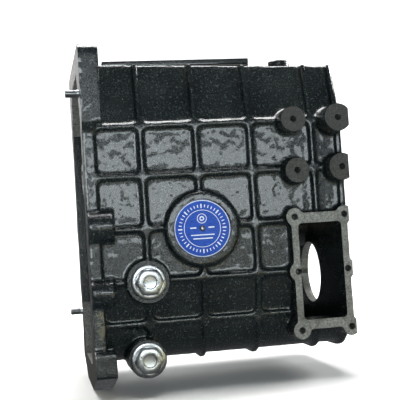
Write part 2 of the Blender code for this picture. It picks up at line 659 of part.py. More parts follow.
def synchronisers():
    for key, x in HUB_X.items():
        start, end = x - HUB_WIDTH / 2, x + HUB_WIDTH / 2
        hub = turned(key, "X", (0.0, *MAIN), [
            (end, MAIN_R + GAP), (end, 23.0), (end - 3.0, 24.0), (end - 3.0, 35.0), (end, HUB_R),
            (start, HUB_R), (start, MAIN_R + GAP)], 20)
        part("synchro_hub_" + key, "gear_steel", hub)
        low, high = x - SLEEVE_WIDTH / 2, x + SLEEVE_WIDTH / 2
        sleeve = turned(key, "X", (0.0, *MAIN), [
            (high, HUB_R + 0.6), (high, SLEEVE_R), (x + 4.2, SLEEVE_R), (x + 4.2, GROOVE_R),
            (x - 4.2, GROOVE_R), (x - 4.2, SLEEVE_R), (low, SLEEVE_R), (low, HUB_R + 0.6)], 20)
        part("synchro_sleeve_" + key, "gear_steel", sleeve)
    rings = {"5": HUB_X["45"] - 11.5, "4": HUB_X["45"] + 11.5, "3": HUB_X["23"] - 11.5,
             "2": HUB_X["23"] + 11.5, "1": HUB_X["1r"] - 11.5}
    for key, x in rings.items():
        cone = turned(key, "X", (0.0, *MAIN), ring_profile(x - 2.8, x + 2.8, 25.0, 36.0), 16)
        part("synchro_ring_" + key, "bronze", cone)


def countershaft():
    shaft = turned("countershaft", "X", (0.0, *COUNTER), [
        (328.0, 0.0), (328.0, 14.0), (312.5, 14.0), (312.5, COUNTER_R), (40.5, COUNTER_R), (40.5, 14.0),
        (25.0, 14.0), (25.0, 0.0)], 16)
    gears = {"drive": DRIVE_TEETH[1], "reverse": REVERSE_TEETH[1]}
    gears.update({key: pair[1] for key, pair in RATIOS.items()})
    rings = [gear_ring("counter_" + key, GEAR_X[key], COUNTER, teeth, counter_phase(key), COUNTER_R - 2.0)
             for key, teeth in gears.items()]
    part("countershaft", "gear_steel", shaft, joined=rings)


def idler_phase():
    return meshing_phase(counter_phase("reverse"), REVERSE_TEETH[1], heading(COUNTER, IDLER), IDLER_TEETH)


def reverse_idler():
    x = GEAR_X["reverse"]
    gear = gear_ring("idler", x, IDLER, IDLER_TEETH, idler_phase(), 9.5)
    part("reverse_idler_gear", "gear_steel", gear)
    shaft = turned("idler_shaft", "X", (0.0, *IDLER), [
        (333.0, 0.0), (333.0, 9.0), (253.5, 9.0), (253.5, 12.0), (250.0, 12.0), (250.0, 0.0)], 14)
    part("reverse_idler_shaft", "gear_steel", shaft)


def output_end():
    flange = turned("output", "X", (0.0, *MAIN), [
        (349.0, 13.1), (349.0, 23.0), (REAR_END, 23.0), (REAR_END, 40.0), (351.0, 40.0), (343.5, 26.0),
        (343.5, 22.0), (335.5, 22.0), (335.5, 13.1)], 24)
    holes = [rod("bolt_hole", "X", (342.5, *polar(32.0, math.radians(45 + 90 * k), MAIN)), 17.0, 4.2, 8)
             for k in range(4)]
    part("output_flange", "gear_steel", flange, cut=holes)
    nut = plate("output_nut", "X", 349.3, 8.0, [hexagon(30.0), circle(12.2, 16)], at=MAIN)
    part("output_nut", "plated_steel", nut)


# ------------------------------------------------------------------ shifting

def shift_rails():
    for key, y in RAIL_Y.items():
        rail = rod(key, "X", (RAIL_ENDS[0], y, RAIL_Z), RAIL_ENDS[1] - RAIL_ENDS[0], RAIL_R, 14)
        half = (GATE_WIDTH if key == "23" else FREE_GATE_WIDTH) / 2
        gate = box("gate", (GATE_X - half, GATE_X + half), (y - 8.0, y + 8.0), (RAIL_Z - 4.0, RAIL_Z + 8.0))
        part("shift_rail_" + key, "gear_steel", rail, cut=[gate])


def fork_outline():
    """The claw of a fork, seen along the shaft: a half ring round the sleeve."""
    inner, outer, steps = GROOVE_R + 0.9, 53.0, 10
    arc = [polar(outer, math.pi * k / steps) for k in range(steps + 1)]
    back = [polar(inner, math.pi * (steps - k) / steps) for k in range(steps + 1)]
    return arc + back


def shift_forks():
    for key, y in RAIL_Y.items():
        x = HUB_X[key]
        claw = plate(key, "X", x - 3.6, 7.2, [fork_outline()], at=MAIN)
        neck = box("neck", (x - 3.5, x + 3.5), (y - 9.0, y + 9.0), (MAIN[1] + 45.0, RAIL_Z - 4.0))
        hub = rod("fork_hub", "X", (x - 9.0, y, RAIL_Z), 18.0, 11.0, 14)
        bore = rod("fork_bore", "X", (x - 10.0, y, RAIL_Z), 20.0, RAIL_R + GAP, 14)
        part("shift_fork_" + key, "machined_iron", claw, joined=[neck, hub], cut=[bore])


def selector():
    middle = RAIL_Y["23"]
    shaft = turned("selector", "-Y", (GATE_X, 0.0, SELECTOR_Z), [
        (50.0, 0.0), (50.0, 7.0), (49.0, SELECTOR_R), (2.0 - LEVER_Y[0], SELECTOR_R),
        (2.0 - LEVER_Y[0], 6.0), (-157.0, 6.0), (-157.0, 0.0)], 16)
    part("selector_shaft", "gear_steel", shaft)
    finger = rod("finger", "-Y", (GATE_X, middle + 7.5, SELECTOR_Z), 15.0, 13.0, 14)
    stem = rod("finger_stem", "Z", (GATE_X, middle, FINGER_Z), 12.5, 2.6, 12)
    tip = ball("finger_ball", (GATE_X, middle, FINGER_Z), FINGER_R)
    bore = rod("finger_bore", "-Y", (GATE_X, middle + 9.0, SELECTOR_Z), 18.0, SELECTOR_R + GAP, 16)
    part("selector_finger", "gear_steel", finger, joined=[stem, tip], cut=[bore])
    reach, tip_r, root_r, steps = 38.0, 8.0, 13.0, 6
    outline = [polar(root_r, math.radians(180 + 180 * k / 10)) for k in range(11)]
    outline += [(tip_r * math.cos(math.pi * k / steps), reach + tip_r * math.sin(math.pi * k / steps))
                for k in range(steps + 1)]
    lever = plate("lever", "-Y", LEVER_Y[1], LEVER_Y[1] - LEVER_Y[0],
                  [outline, circle(4.2, 12, at=(0.0, reach)), circle(6.0 + GAP, 16)],
                  at=(GATE_X, SELECTOR_Z))
    part("selector_lever", "black_enamel", lever)


covers()
retainers()
near_side()
bearings()
mainshaft_group()
synchronisers()
countershaft()
reverse_idler()
output_end()
shift_rails()
shift_forks()
selector()
main_case()
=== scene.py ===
"""Looks of the manual transmission: a gloss-black ribbed iron gearbox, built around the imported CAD.

Places are given in the gearbox's own millimetres, as in the CAD: x back from the front flange
face, y across with the power take-off side negative, z up from the foot. spot() turns them
into the shared frame in metres.
"""
import json
import math

import bmesh
import bpy
from mathutils import Matrix, Vector

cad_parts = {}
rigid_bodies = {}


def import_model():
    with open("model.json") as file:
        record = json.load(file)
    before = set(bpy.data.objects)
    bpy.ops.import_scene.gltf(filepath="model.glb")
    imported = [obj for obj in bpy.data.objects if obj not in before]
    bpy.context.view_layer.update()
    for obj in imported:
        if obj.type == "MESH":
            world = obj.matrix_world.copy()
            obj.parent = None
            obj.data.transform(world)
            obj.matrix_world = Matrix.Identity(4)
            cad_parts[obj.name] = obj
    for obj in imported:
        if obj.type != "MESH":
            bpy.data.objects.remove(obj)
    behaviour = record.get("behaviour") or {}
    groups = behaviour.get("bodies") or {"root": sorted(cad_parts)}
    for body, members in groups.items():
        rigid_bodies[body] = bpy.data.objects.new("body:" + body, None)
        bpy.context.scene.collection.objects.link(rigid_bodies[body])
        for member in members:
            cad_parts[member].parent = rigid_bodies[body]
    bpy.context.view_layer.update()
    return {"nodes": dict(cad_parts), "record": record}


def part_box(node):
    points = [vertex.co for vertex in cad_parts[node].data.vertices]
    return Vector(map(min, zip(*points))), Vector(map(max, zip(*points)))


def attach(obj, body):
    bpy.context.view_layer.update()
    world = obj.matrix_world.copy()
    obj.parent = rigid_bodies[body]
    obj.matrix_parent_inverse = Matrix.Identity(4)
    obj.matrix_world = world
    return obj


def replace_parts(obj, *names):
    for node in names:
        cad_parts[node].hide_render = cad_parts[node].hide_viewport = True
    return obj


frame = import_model()

MM = 0.001
FRONT_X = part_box("main_case")[0].x
MAIN = (-20.0, 275.0)
COUNTER = (42.0, 196.54)
IDLER = (69.73, 252.55)
PORT = (8.0, 128.0)
BOSSES = ((263.0, 328.6, 16.0, 150.0), (319.6, 327.8, 17.5, 157.0),
          (266.7, 264.3, 16.0, 141.0), (324.8, 266.0, 17.5, 146.0))    # x, z, radius, face
PLUGS = {"fill_plug": (70.0, 137.0, 26.5), "drain_plug": (64.0, 43.0, 23.5)}
PLATE_AT = (142.6, 198.3)
PTO_FACE_Y = -134.0
PTO_HOLES = [(x, z) for x in (261.0, 327.2) for z in (205.6, 136.1, 61.9)]
PTO_WINDOW = (264.5, 322.0, 74.5, 197.0)
PTO_FRAME = (255.5, 331.0, 62.5, 210.5)
LUGS = ((208.0, 20.0, 31.0), (126.0, 17.5, 28.0))
LUG_Y = 118.0
RETAINER_BOLTS = [math.radians(a) for a in (90.0, 210.0, 330.0)]
RETAINER_BOLT_R = 51.5
BEARING_R, SMALL_BEARING_R, PORT_R, IDLER_PIN_R = 45.0, 28.0, 43.0, 9.4
RAIL_Y, RAIL_Z = (-42.0, -20.0, 2.0), 370.0
SELECTOR_AT = (130.0, 391.0)
STUDS = {"flange_stud_upper": (-108.0, 376.0), "flange_stud_lower": (108.0, 90.0)}
COVER_SCREWS = [(x, y) for x in (46.0, 219.0) for y in (-61.0, 61.0)]
BREATHER_AT = (190.0, 50.0)
TAPPED_R = 4.3                # tapped M10 hole
SCREW_R = 3.3                 # hole for an M6 screw
FINE = 64                     # sides of a round shape that shows


def spot(x, y, z):
    return Vector((FRONT_X + x * MM, y * MM, z * MM))


# ------------------------------------------------------------------ mesh tools

scene = bpy.context.scene


def keep(obj):
    """Put a new object in the scene."""
    scene.collection.objects.link(obj)
    return obj


def from_bmesh(name, bm):
    mesh = bpy.data.meshes.new(name)
    bm.to_mesh(mesh)
    bm.free()
    return keep(bpy.data.objects.new(name, mesh))


TURNS = {"X": Matrix.Rotation(math.pi / 2, 4, "Y"), "Y": Matrix.Rotation(-math.pi / 2, 4, "X"),
         "-Y": Matrix.Rotation(math.pi / 2, 4, "X"), "Z": Matrix.Identity(4)}


def turned(name, axis, at, profile, sides=FINE):
    """Turn a profile of (distance along the axis, radius) points about an axis through a point."""
    bm = bmesh.new()
    rings = []
    for along, radius in profile:
        if radius == 0.0:
            rings.append([bm.verts.new((0.0, 0.0, along * MM))])
            continue
        rings.append([bm.verts.new((radius * MM * math.cos(2 * math.pi * k / sides),
                                    radius * MM * math.sin(2 * math.pi * k / sides), along * MM))
                      for k in range(sides)])
    pairs = list(zip(rings, rings[1:]))
    if profile[0][1] != 0.0:
        pairs.append((rings[-1], rings[0]))
    for a, b in pairs:
        for k in range(sides):
            j = (k + 1) % sides
            if len(a) == 1:
                bm.faces.new((a[0], b[k], b[j]))
            elif len(b) == 1:
                bm.faces.new((a[k], b[0], a[j]))
            else:
                bm.faces.new((a[k], b[k], b[j], a[j]))
    bmesh.ops.recalc_face_normals(bm, faces=bm.faces)
    bm.transform(Matrix.Translation(spot(*at)) @ TURNS[axis])
    return from_bmesh(name, bm)


def rod(axis, at, length, radius, sides=FINE):
    """A round bar along an axis from a point."""
    return turned("rod", axis, at, [(0.0, 0.0), (0.0, radius), (length, radius), (length, 0.0)], sides)


def box(name, x, y, z):
    """A block between the low and high end of each axis."""
    bm = bmesh.new()
    bmesh.ops.create_cube(bm, size=1.0)
    low, high = spot(x[0], y[0], z[0]), spot(x[1], y[1], z[1])
    size = high - low
    bm.transform(Matrix.Translation((low + high) / 2) @ Matrix.Diagonal((*size, 1.0)))
    return from_bmesh(name, bm)


def extruded(name, axis, at, outline, thickness):
    """Extrude a flat outline: (y, z) points along X, or (x, z) points along Y, from a place on the axis."""
    bm = bmesh.new()
    if axis == "X":
        points = [spot(at, a, b) for a, b in outline]
        step = Vector((thickness * MM, 0.0, 0.0))
    else:
        points = [spot(a, at, b) for a, b in outline]
        step = Vector((0.0, thickness * MM, 0.0))
    face = bm.faces.new([bm.verts.new(p) for p in points])
    grown = bmesh.ops.extrude_face_region(bm, geom=[face])
    moved = [v for v in grown["geom"] if isinstance(v, bmesh.types.BMVert)]
    bmesh.ops.translate(bm, vec=step, verts=moved)
    bmesh.ops.recalc_face_normals(bm, faces=bm.faces)
    return from_bmesh(name, bm)


def settle(obj):
    """Apply an object's modifiers to its mesh."""
    bpy.context.view_layer.update()
    mesh = bpy.data.meshes.new_from_object(obj.evaluated_get(bpy.context.evaluated_depsgraph_get()))
    obj.modifiers.clear()
    obj.data = mesh
    return obj


def combine(target, operation, tools):
    """Join or cut a target with a list of tools, and remove them."""
    group = bpy.data.collections.new("tools")
    scene.collection.children.link(group)
    for tool in tools:
        group.objects.link(tool)
        scene.collection.objects.unlink(tool)
    change = target.modifiers.new("combine", "BOOLEAN")
    change.operation = operation
    change.operand_type = "COLLECTION"
    change.collection = group
    change.solver = "MANIFOLD"
    settle(target)
    for tool in list(group.objects):
        bpy.data.objects.remove(tool, do_unlink=True)
    bpy.data.collections.remove(group)
    return target


def turn_about(obj, pivot, angle, axis):
    """Turn an object's mesh about a line through a point."""
    turn = Matrix.Rotation(angle, 4, axis)
    obj.data.transform(Matrix.Translation(pivot) @ turn @ Matrix.Translation(-pivot))
    return obj


def smooth(obj, angle=35.0):
    """Shade smooth, with creases sharper than the angle left as they are."""
    obj.data.shade_smooth()
    obj.data.set_sharp_from_angle(angle=math.radians(angle))
    return obj


def bevel(obj, width, segments=3, angle=35.0):
    """Round an object's sharp edges, then shade it smooth."""
    change = obj.modifiers.new("round", "BEVEL")
    change.width = width * MM
    change.segments = segments
    change.limit_method = "ANGLE"
    change.angle_limit = math.radians(angle)
    change.harden_normals = False
    settle(obj)
    return smooth(obj, 60.0)


def polar(radius, angle, at):
    """The point at a radius and an angle from a centre."""
    return (at[0] + radius * math.cos(angle), at[1] + radius * math.sin(angle))


# ------------------------------------------------------------------ materials

class Shader:
    """A node material under construction, with textures in the object's own coordinates."""

    def __init__(self, name):
        self.material = bpy.data.materials.new(name)
        self.material.use_nodes = True
        self.tree = self.material.node_tree
        self.shader = self.tree.nodes["Principled BSDF"]
        self.place = self.tree.nodes.new("ShaderNodeTexCoord").outputs["Object"]

    def put(self, kind, **settings):
        node = self.tree.nodes.new(kind)
        for key, value in settings.items():
            setattr(node, key, value)
        return node

    def join(self, out, into):
        self.tree.links.new(out, into)

    def stretched(self, scale):
        node = self.put("ShaderNodeMapping")
        node.inputs["Scale"].default_value = scale
        self.join(self.place, node.inputs["Vector"])
        return node.outputs["Vector"]

    def noise(self, scale, detail=4.0, roughness=0.55, along=None):
        node = self.put("ShaderNodeTexNoise")
        node.inputs["Scale"].default_value = scale
        node.inputs["Detail"].default_value = detail
        node.inputs["Roughness"].default_value = roughness
        self.join(along or self.place, node.inputs["Vector"])
        return node.outputs["Fac"]

    def ramp(self, value, *stops):
        """Map a value to colours: stops are (position, (r, g, b))."""
        node = self.put("ShaderNodeValToRGB")
        while len(node.color_ramp.elements) < len(stops):
            node.color_ramp.elements.new(0.5)
        for element, (position, colour) in zip(node.color_ramp.elements, stops):
            element.position = position
            element.color = (*colour, 1.0)
        self.join(value, node.inputs["Fac"])
        return node.outputs["Color"]

    def span(self, value, low, high, to_low, to_high):
        """Stretch a value's range to another range."""
        node = self.put("ShaderNodeMapRange")
        names = ("From Min", "From Max", "To Min", "To Max")
        for key, number in zip(names, (low, high, to_low, to_high)):
            node.inputs[key].default_value = number
        self.join(value, node.inputs["Value"])
        return node.outputs["Result"]

    def maths(self, operation, a, b):
        node = self.put("ShaderNodeMath", operation=operation)
        for socket, value in zip(node.inputs, (a, b)):
            if isinstance(value, (int, float)):
                socket.default_value = value
            else:
                self.join(value, socket)
        return node.outputs["Value"]

    def mix(self, factor, a, b):
        node = self.put("ShaderNodeMix", data_type="RGBA")
        for key, value in (("Factor", factor), ("A", a), ("B", b)):
            socket = next(s for s in node.inputs if s.name == key and s.enabled)
            if isinstance(value, tuple):
                socket.default_value = (*value, 1.0)
            else:
                self.join(value, socket)
        return next(s for s in node.outputs if s.enabled)

    def bump(self, height, depth, strength=1.0, before=None):
        """Turn a height into a tilted normal, with a depth in millimetres."""
        node = self.put("ShaderNodeBump")
        node.inputs["Strength"].default_value = strength
        node.inputs["Distance"].default_value = depth * MM
        self.join(height, node.inputs["Height"])
        if before is not None:
            self.join(before, node.inputs["Normal"])
        return node.outputs["Normal"]

    def finish(self, colour=None, roughness=None, normal=None, **constants):
        for key, value in (("Base Color", colour), ("Roughness", roughness), ("Normal", normal)):
            if value is not None:
                self.join(value, self.shader.inputs[key])
        for key, value in constants.items():
            socket = "IOR" if key == "ior" else key.replace("_", " ").title()
            self.shader.inputs[socket].default_value = value
        return self.material


def enamel(name, grain=1.0, glint_amount=1.0):
    """Thick gloss-black paint over a rough sand casting, with light grey specks scattered at random through
    the black as painted highlight glints.
    """
    s = Shader(name)
    cloud = s.noise(22.0, 3.0)
    fine = s.noise(760.0, 3.0, 0.65)
    # light grey specks mixed into the black colour are painted highlight glints on the paint
    glint_specks = s.span(s.noise(430.0, 3.0, 0.75), 0.58, 0.66, 0.0, 0.42 * glint_amount)
    black = s.ramp(cloud, (0.30, (0.002, 0.004, 0.005)), (0.70, (0.006, 0.010, 0.010)))
    colour = s.mix(glint_specks, black, (0.085, 0.11, 0.115))
    roughness = s.maths("ADD", s.span(cloud, 0.3, 0.7, 0.12, 0.24),
                        s.span(fine, 0.3, 0.7, -0.03, 0.07))
    skin = s.bump(s.noise(560.0, 3.0, 0.6), 0.60 * grain, 0.9)
    skin = s.bump(s.noise(170.0, 2.0, 0.5), 0.45 * grain, 0.6, skin)
    return s.finish(colour, roughness, skin, ior=1.42, coat_weight=0.35, coat_roughness=0.06, metallic=0.0)


def machined(name, light=1.0, stain=1.0, along=(1.0, 1.0, 1.0)):
    """Bare cast iron off a milling cutter: grey, mottled, with fine tool marks and rust-brown stains."""
    s = Shader(name)
    marks = s.noise(1500.0, 2.0, 0.6, s.stretched(along))
    mottle = s.noise(420.0, 6.0, 0.72)
    patch = s.noise(55.0, 4.0, 0.6)
    grey = s.ramp(mottle, (0.28, tuple(c * light for c in (0.035, 0.036, 0.034))),
                  (0.50, tuple(c * light for c in (0.105, 0.108, 0.102))),
                  (0.74, tuple(c * light for c in (0.21, 0.215, 0.205))))
    colour = s.mix(s.span(patch, 0.50, 0.68, 0.0, 0.55 * stain), grey, (0.050, 0.043, 0.028))
    roughness = s.span(mottle, 0.3, 0.7, 0.70, 0.48)
    skin = s.bump(marks, 0.06, 0.5)
    skin = s.bump(mottle, 0.25, 0.7, skin)
    return s.finish(colour, roughness, skin, metallic=0.55)


def steel(name, colour=(0.50, 0.50, 0.51), rough=(0.22, 0.40), along=(1.0, 1.0, 1.0),
          stain=(0.10, 0.09, 0.08)):
    """Turned or ground steel, with tool lines, oil film and darker stains."""
    s = Shader(name)
    lines = s.noise(2200.0, 2.0, 0.6, s.stretched(along))
    film = s.noise(90.0, 5.0, 0.6)
    base = s.ramp(film, (0.28, tuple(c * 0.62 for c in colour)), (0.55, colour),
                  (0.80, tuple(min(1.0, c * 1.12) for c in colour)))
    tint = s.mix(s.span(s.noise(45.0, 4.0), 0.56, 0.72, 0.0, 0.45), base, stain)
    roughness = s.span(film, 0.3, 0.7, *rough)
    skin = s.bump(lines, 0.03, 0.45)
    return s.finish(tint, roughness, skin, metallic=1.0)


def dull(name, dark, pale, rough=(0.65, 0.85), scale=500.0, depth=0.12):
    """Rubber or pressed fibre: no shine, with a fine grain."""
    s = Shader(name)
    grain = s.noise(scale, 4.0, 0.65)
    colour = s.ramp(s.noise(60.0, 4.0), (0.3, dark), (0.7, pale))
    return s.finish(colour, s.span(grain, 0.3, 0.7, *rough), s.bump(grain, depth, 0.6), metallic=0.0)


def printed_blue(name):
    """A blue lacquered disc with faint streaks and scuffs."""
    s = Shader(name)
    streak = s.noise(260.0, 4.0, 0.7, s.stretched((1.0, 1.0, 4.0)))
    colour = s.ramp(streak, (0.25, (0.003, 0.026, 0.18)), (0.55, (0.006, 0.055, 0.34)),
                    (0.85, (0.02, 0.10, 0.44)))
    roughness = s.span(s.noise(110.0, 4.0), 0.3, 0.7, 0.42, 0.58)
    return s.finish(colour, roughness, s.bump(s.noise(700.0, 3.0), 0.06, 0.5), metallic=0.0, ior=1.3)


def printed_white(name):
    """White print on the disc, worn thin in places."""
    s = Shader(name)
    colour = s.ramp(s.noise(420.0, 4.0, 0.7), (0.30, (0.18, 0.26, 0.44)), (0.48, (0.52, 0.58, 0.66)))
    return s.finish(colour, s.span(s.noise(300.0, 3.0), 0.3, 0.7, 0.35, 0.55),
                    s.bump(s.noise(900.0), 0.02, 0.4), metallic=0.0)


MATERIALS = {
    "enamel": enamel("black_enamel"),
    "machined_iron": machined("machined_iron", 1.5),
    "gear_steel": steel("gear_steel", along=(0.1, 1.0, 1.0)),
    "plated_steel": steel("plated_steel", (0.34, 0.35, 0.36), (0.22, 0.38), stain=(0.10, 0.10, 0.09)),
    "bronze": steel("bronze", (0.66, 0.44, 0.18), (0.25, 0.42), stain=(0.25, 0.14, 0.06)),
    "seal_rubber": dull("seal_rubber", (0.012, 0.012, 0.012), (0.030, 0.030, 0.031)),
    "gasket": dull("gasket_fibre", (0.11, 0.10, 0.085), (0.20, 0.19, 0.16), scale=900.0),
    "plate_blue": printed_blue("plate_blue"),
    "sawn_iron": machined("sawn_iron", 0.42, 0.5),
    "turned_steel": steel("turned_steel", (0.42, 0.42, 0.43), (0.28, 0.46)),
}
SLOTS = {row["node"]: row["material_slot"] for row in frame["record"]["subparts"]}
BODIES = frame["record"]["behaviour"]["bodies"]
BODY_OF = {node: body for body, nodes in BODIES.items() for node in nodes}


def dress(obj, material):
    """Give a piece its material."""
    obj.data.materials.clear()
    obj.data.materials.append(material)
    return obj


def stand_in(obj, node, material=None):
    """Show a detailed piece in place of a CAD node, on the node's own body and slot."""
    slot = SLOTS[node]
    dress(obj, material or MATERIALS[slot])
    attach(obj, BODY_OF[node])
    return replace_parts(obj, node)


def add_on(obj, node, material):
    """Show a detail that rides with a CAD node."""
    dress(obj, material)
    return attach(obj, BODY_OF[node])


for node_name, node_object in frame["nodes"].items():
    node_object.data.materials.clear()
    node_object.data.materials.append(MATERIALS[SLOTS[node_name]])
    smooth(node_object, 32.0)


# ------------------------------------------------------------------ the case casting

FLANGE_X, EAR_X, CASE_LENGTH = 15.0, 25.0, 333.5
WALL, WALL_Y, TOP_Y = 8.0, 120.0, 94.0
TOP_FRONT_Z, TOP_REAR_Z = 414.5, 405.5
LEAN_Z, STRAIGHT_Z, SUMP_Z, BOTTOM_Z = 331.0, 137.0, 84.0, 36.0
SUMP_Y, SUMP_FLAT_Y = 106.0, 60.0
RIB, RIB_HALF = 5.0, 3.0
RIB_X = (72.0, 142.0, 212.0, 294.0)
RIB_Z = (331.0, 268.0, 202.0, 137.0, 84.0)
FLANGE_TOP_Z, EAR_Y, FLANGE_Y, EAR_LOW_Z = 436.0, 133.0, 125.0, 336.5
PAD_Z = 414.8
REAR_EDGE = 7.0               # width of the rim round the rear face
MOUTH_DEPTH = 20.0            # how deep the recess in the front face is
STOCK = 1.6                   # cast stock that the milling takes off again
VOXEL = 1.7                   # grid of the remesh that rounds the casting's corners
CLOSE = 0.02                  # how near a face's middle lies to the plane that it is on


def top_z(x):
    """Height of the case's top, which falls gently to the rear."""
    return TOP_FRONT_Z + (TOP_REAR_Z - TOP_FRONT_Z) * (x - FLANGE_X) / (CASE_LENGTH - FLANGE_X)


def mirrored(half):
    """A closed outline from its right half, as (y, z) points."""
    return half + [(-y, z) for y, z in reversed(half)]


def section(x, grow, top_grow, drop=0.0):
    """The case's outline across the shafts at x, grown or shrunk, as (y, z) points."""
    half = [(TOP_Y + top_grow, top_z(x) - drop), (WALL_Y + grow, LEAN_Z), (WALL_Y + grow, STRAIGHT_Z)]
    for k in range(13):
        turn = math.pi / 2 * k / 12
        half.append((SUMP_FLAT_Y + (SUMP_Y - SUMP_FLAT_Y + grow) * math.cos(turn),
                     SUMP_Z - (SUMP_Z - BOTTOM_Z + grow) * math.sin(turn)))
    return mirrored(half)


def case_slice(name, x, grow, top_grow, drop=0.0):
    """The case's outline swept between two places along the shafts."""
    bm = bmesh.new()
    rings = [[bm.verts.new(spot(end, y, z)) for y, z in section(end, grow, top_grow, drop)] for end in x]
    bm.faces.new(rings[0])
    bm.faces.new(rings[1])
    count = len(rings[0])
    for k in range(count):
        j = (k + 1) % count
        bm.faces.new((rings[0][k], rings[0][j], rings[1][j], rings[1][k]))
    bmesh.ops.recalc_face_normals(bm, faces=bm.faces)
    return from_bmesh(name, bm)


def rounded_rectangle(low, high, radius, steps=5):
    """Corners (a, b) of a rectangle with round corners."""
    points = []
    inner_low = (low[0] + radius, low[1] + radius)
    inner_high = (high[0] - radius, high[1] - radius)
    centres = (inner_high, (inner_low[0], inner_high[1]), inner_low, (inner_high[0], inner_low[1]))
    for quarter, (a, b) in enumerate(centres):
        for k in range(steps + 1):
            turn = math.pi / 2 * (quarter + k / steps)
            points.append((a + radius * math.cos(turn), b + radius * math.sin(turn)))
    return points


def rib_grid():
    """The web of ribs round the case: a grown case less a round-cornered pocket in each cell."""
    floor, ceiling = -20.0, 480.0
    grid = case_slice("ribs", (FLANGE_X - 5.0, CASE_LENGTH - 3.0), RIB, 14.0, 1.0)
    across = [FLANGE_X] + [x + side * RIB_HALF for x in RIB_X for side in (-1, 1)]
    across.append(CASE_LENGTH - REAR_EDGE)
    upward = [floor] + [z + side * RIB_HALF for z in reversed(RIB_Z) for side in (-1, 1)]
    upward.append(ceiling)
    pockets = []
    for x in zip(across[::2], across[1::2]):
        for z in zip(upward[::2], upward[1::2]):
            outline = rounded_rectangle((x[0], z[0]), (x[1], z[1]), 8.0)
            pockets.append(extruded("pocket", "Y", -200.0, outline, 400.0))
    return combine(grid, "DIFFERENCE", pockets)


def flange_pieces():
    """The front flange's plate, with its thicker top and foot."""
    corner = [(EAR_Y - 14.0, FLANGE_TOP_Z), (EAR_Y - 8.0, FLANGE_TOP_Z - 1.3),
              (EAR_Y - 2.6, FLANGE_TOP_Z - 6.0), (EAR_Y, FLANGE_TOP_Z - 14.0)]
    waist = [(EAR_Y, EAR_LOW_Z), (FLANGE_Y, EAR_LOW_Z - 10.5), (FLANGE_Y, 57.0), (EAR_Y, 53.0)]
    foot = [(EAR_Y, 24.0), (55.0, 0.0)]
    whole = mirrored(corner + waist + foot)
    return [extruded("flange", "X", -STOCK, whole, FLANGE_X + STOCK),
            extruded("ear", "X", 1.0, mirrored(corner + [(EAR_Y, EAR_LOW_Z)]), EAR_X - 1.0),
            extruded("foot", "X", 1.0, mirrored([(EAR_Y, 53.0)] + foot), EAR_X)]


def rough_casting():
    """The whole outside as it leaves the sand mould, with soft edges and a slightly wavy skin."""
    body = case_slice("main_case_casting", (FLANGE_X - 5.0, CASE_LENGTH + STOCK), 0.0, 0.0)
    outside = flange_pieces() + [
        rib_grid(),
        case_slice("rear_edge", (CASE_LENGTH - REAR_EDGE, CASE_LENGTH + STOCK), RIB, 10.0, 1.0),
        box("cover_pad", (34.0, 231.0), (-70.0, 70.0), (380.0, PAD_Z + STOCK)),
        rod("Z", (274.0, -62.0, 390.0), 29.5, 15.0),
        rod("-Y", (SELECTOR_AT[0], 116.0 + STOCK, SELECTOR_AT[1]), 40.0, 15.0),
        rod("-Y", (PLATE_AT[0], -100.0, PLATE_AT[1]), 29.0, 46.5),
        box("pto_frame", PTO_FRAME[:2], (PTO_FACE_Y - STOCK, -96.0), PTO_FRAME[2:])]
    outside += [rod("-Y", (x, -96.0, z), -PTO_FACE_Y - 96.0 + STOCK, 11.5) for x, z in PTO_HOLES]
    outside += [rod("-Y", (x, -100.0, z), face - 100.0 + STOCK, radius) for x, z, radius, face in BOSSES]
    outside += [rod("-Y", (x, -70.0, z), 61.0 + STOCK, radius) for x, z, radius in PLUGS.values()]
    outside += [rod("X", (0.05, side * LUG_Y, z), length, radius)
                for side in (-1, 1) for z, radius, length in LUGS]
    combine(body, "UNION", outside)
    remesh = body.modifiers.new("sand", "REMESH")
    remesh.mode = "VOXEL"
    remesh.voxel_size = VOXEL * MM
    soften = body.modifiers.new("soften", "SMOOTH")
    soften.factor = 0.5
    soften.iterations = 4
    for name, size, strength in (("sand_lumps", 0.012, 0.6), ("sand_grain", 0.0045, 0.45)):
        lumps = bpy.data.textures.new(name, "CLOUDS")
        lumps.noise_scale = size
        lumps.noise_depth = 2
        waves = body.modifiers.new(name, "DISPLACE")
        waves.texture = lumps
        waves.strength = strength * MM
        waves.mid_level = 0.5
    return settle(body)


def case_hollows():
    """Cutters for the hollow inside, the front mouth and the faces that are milled flat."""
    mouth = mirrored([(70.0, 408.0), (97.0, 348.0), (97.0, 103.0), (62.0, 33.0)])
    cavity = case_slice("cavity", (34.0, 323.0), -WALL, -WALL, 20.0)
    milled = [box("front_mill", (-20.0, 0.0), (-200.0, 200.0), (-20.0, 480.0)),
              box("rear_mill", (CASE_LENGTH, 360.0), (-200.0, 200.0), (-20.0, 480.0)),
              box("cover_mill", (30.0, 235.0), (-78.0, 78.0), (PAD_Z, 440.0)),
              box("pto_mill", (240.0, 350.0), (-170.0, PTO_FACE_Y), (45.0, 225.0)),
              rod("-Y", (SELECTOR_AT[0], 130.0, SELECTOR_AT[1]), 14.0, 22.0)]
    milled += [rod("-Y", (x, -face, z), 12.0, radius + 6.0) for x, z, radius, face in BOSSES]
    milled += [rod("-Y", (x, -131.0, z), 12.0, radius + 4.0) for x, z, radius in PLUGS.values()]
    return [cavity, extruded("mouth", "X", -1.0, mouth, MOUTH_DEPTH + 1.0)] + milled


